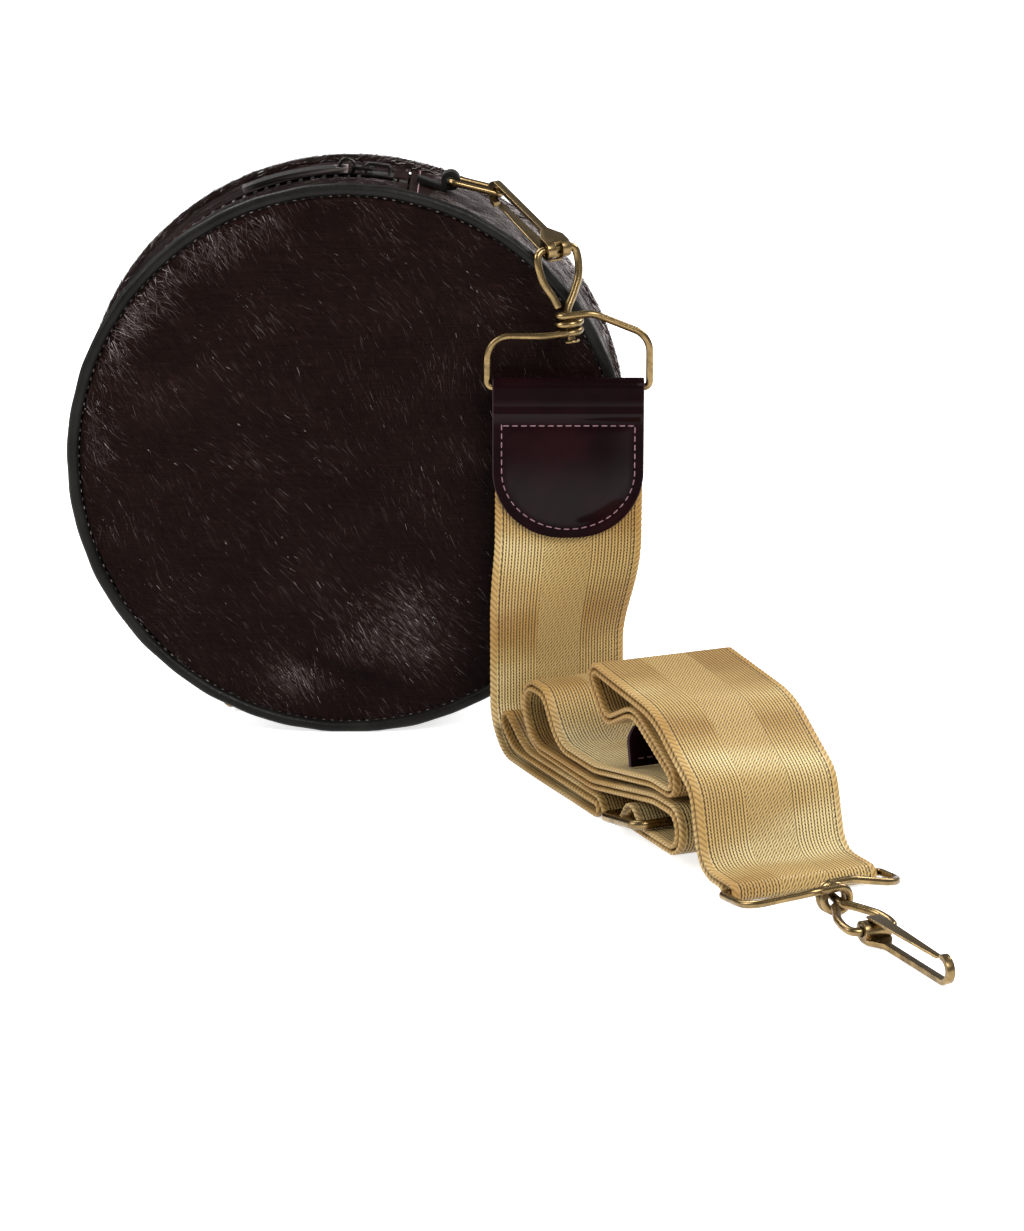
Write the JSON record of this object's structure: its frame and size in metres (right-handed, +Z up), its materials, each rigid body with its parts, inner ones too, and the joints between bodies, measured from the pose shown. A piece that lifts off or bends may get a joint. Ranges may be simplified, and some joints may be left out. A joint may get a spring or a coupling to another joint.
{
  "type": "circle_bag",
  "caption": "Round drum bag of hair-on hide with piped rims and a zipped gusset, standing on its rim, with a wide webbing strap on snap hooks, clipped to one ring and folded on the floor",
  "frame": {"origin": "on the floor, under the middle of the drum, between its two piped rims", "axes": "X to the right of the front face, Y into the bag along the drum's axis, Z up"},
  "size_m": [0.2784, 0.3252, 0.1945],
  "materials": {
    "hide": "short dark brown hair-on hide",
    "trim_leather": "smooth near-black leather",
    "tab_leather": "glossy dark oxblood leather",
    "webbing": "gold satin-ribbed webbing",
    "lining": "plain woven lining",
    "board": "stiffening board",
    "zip_cloth": "woven zip tape",
    "zip_metal": "dark gunmetal",
    "brass": "antique brass, lightly worn"
  },
  "bodies": {
    "bag": {"front_panel": "hide", "back_panel": "hide", "front_board": "board", "back_board": "board", "front_lining": "lining", "back_lining": "lining", "front_piping": "trim_leather", "back_piping": "trim_leather", "gusset_band": "hide", "gusset_lining": "lining", "zip_facing_front": "hide", "zip_facing_back": "hide", "zip_tape_front": "zip_cloth", "zip_tape_back": "zip_cloth", "zip_teeth_front": "zip_metal", "zip_teeth_back": "zip_metal", "zip_stops": "zip_metal", "ring_tab_a": "trim_leather", "ring_tab_b": "trim_leather", "inner_pocket": "lining"},
    "zip_slider": {"zip_slider": "zip_metal"},
    "zip_tag": {"zip_tag": "zip_metal"},
    "zip_pull": {"pull_ring": "zip_metal", "pull_strip": "trim_leather"},
    "ring_a": {"ring_a": "brass"},
    "ring_b": {"ring_b": "brass"},
    "hook_a": {"hook_a": "brass"},
    "gate_a": {"gate_a": "brass"},
    "eye_a": {"eye_a": "brass"},
    "loop_a": {"loop_a": "brass"},
    "strap": {"leather_tab": "tab_leather", "strap_webbing": "webbing", "end_patch": "tab_leather", "strap_slider": "brass"},
    "loop_b": {"loop_b": "brass"},
    "eye_b": {"eye_b": "brass"},
    "hook_b": {"hook_b": "brass"},
    "gate_b": {"gate_b": "brass"}
  },
  "joints": [
    {"name": "zip_run", "type": "hinge", "parent": "bag", "child": "zip_slider", "pos_m": [0, 0, 0.095], "axis": [0, -1, 0], "range_deg": [0, 114]},
    {"name": "tag_swing", "type": "hinge", "parent": "zip_slider", "child": "zip_tag", "pos_m": [0.00772, 0, 0.19047], "axis": [0, 1, 0], "range_deg": [0, 100]},
    {"name": "pull_swing", "type": "hinge", "parent": "zip_tag", "child": "zip_pull", "pos_m": [-0.00053, 0, 0.19133], "axis": [0, 1, 0], "range_deg": [0, 60]},
    {"name": "ring_a_swing", "type": "hinge", "parent": "bag", "child": "ring_a", "pos_m": [0.03484, 0, 0.18671], "axis": [0, -1, 0], "range_deg": [0, 60]},
    {"name": "ring_b_swing", "type": "hinge", "parent": "bag", "child": "ring_b", "pos_m": [-0.05528, 0, 0.01396], "axis": [0, -1, 0], "range_deg": [-100, 20]},
    {"name": "hook_a_swing", "type": "hinge", "parent": "ring_a", "child": "hook_a", "pos_m": [0.05089, -0.00524, 0.1827], "axis": [-0.8403, -0.5, 0.2095], "range_deg": [0, 40]},
    {"name": "gate_a_press", "type": "hinge", "parent": "hook_a", "child": "gate_a", "pos_m": [0.0695, -0.03686, 0.16647], "axis": [0.8787, 0.4672, 0.0976], "range_deg": [0, 6], "stiffness_Nm_per_rad": 0.2, "springref_deg": -5.73},
    {"name": "eye_a_swing", "type": "hinge", "parent": "hook_a", "child": "eye_a", "pos_m": [0.07028, -0.03902, 0.16984], "axis": [-0.8787, -0.4672, -0.0976], "range_deg": [0, 40]},
    {"name": "swivel_a", "type": "hinge", "parent": "eye_a", "child": "loop_a", "pos_m": [0.07459, -0.04202, 0.1454], "axis": [0.1724, -0.12, -0.9777], "range_deg": [-10, 10]},
    {"name": "tab_swing", "type": "hinge", "parent": "loop_a", "child": "strap", "pos_m": [0.07459, -0.04202, 0.1234], "axis": [-1, 0, 0], "range_deg": [0, 30]},
    {"name": "loop_b_swing", "type": "hinge", "parent": "strap", "child": "loop_b", "pos_m": [0.14384, -0.20679, 0.00361], "axis": [-0.9135, -0.4067, 0], "range_deg": [0, 60]},
    {"name": "swivel_b", "type": "hinge", "parent": "loop_b", "child": "eye_b", "pos_m": [0.15275, -0.22681, 0.00553], "axis": [0.4052, -0.9101, -0.0872], "continuous": true},
    {"name": "hook_b_swing", "type": "hinge", "parent": "eye_b", "child": "hook_b", "pos_m": [0.16288, -0.24956, 0.00335], "axis": [0.9135, 0.4067, 0], "range_deg": [-60, 60]},
    {"name": "gate_b_press", "type": "hinge", "parent": "hook_b", "child": "gate_b", "pos_m": [0.16329, -0.25047, 0.0073], "axis": [0.9135, 0.4067, 0], "range_deg": [0, 6], "stiffness_Nm_per_rad": 0.2, "springref_deg": -5.73}
  ]
}
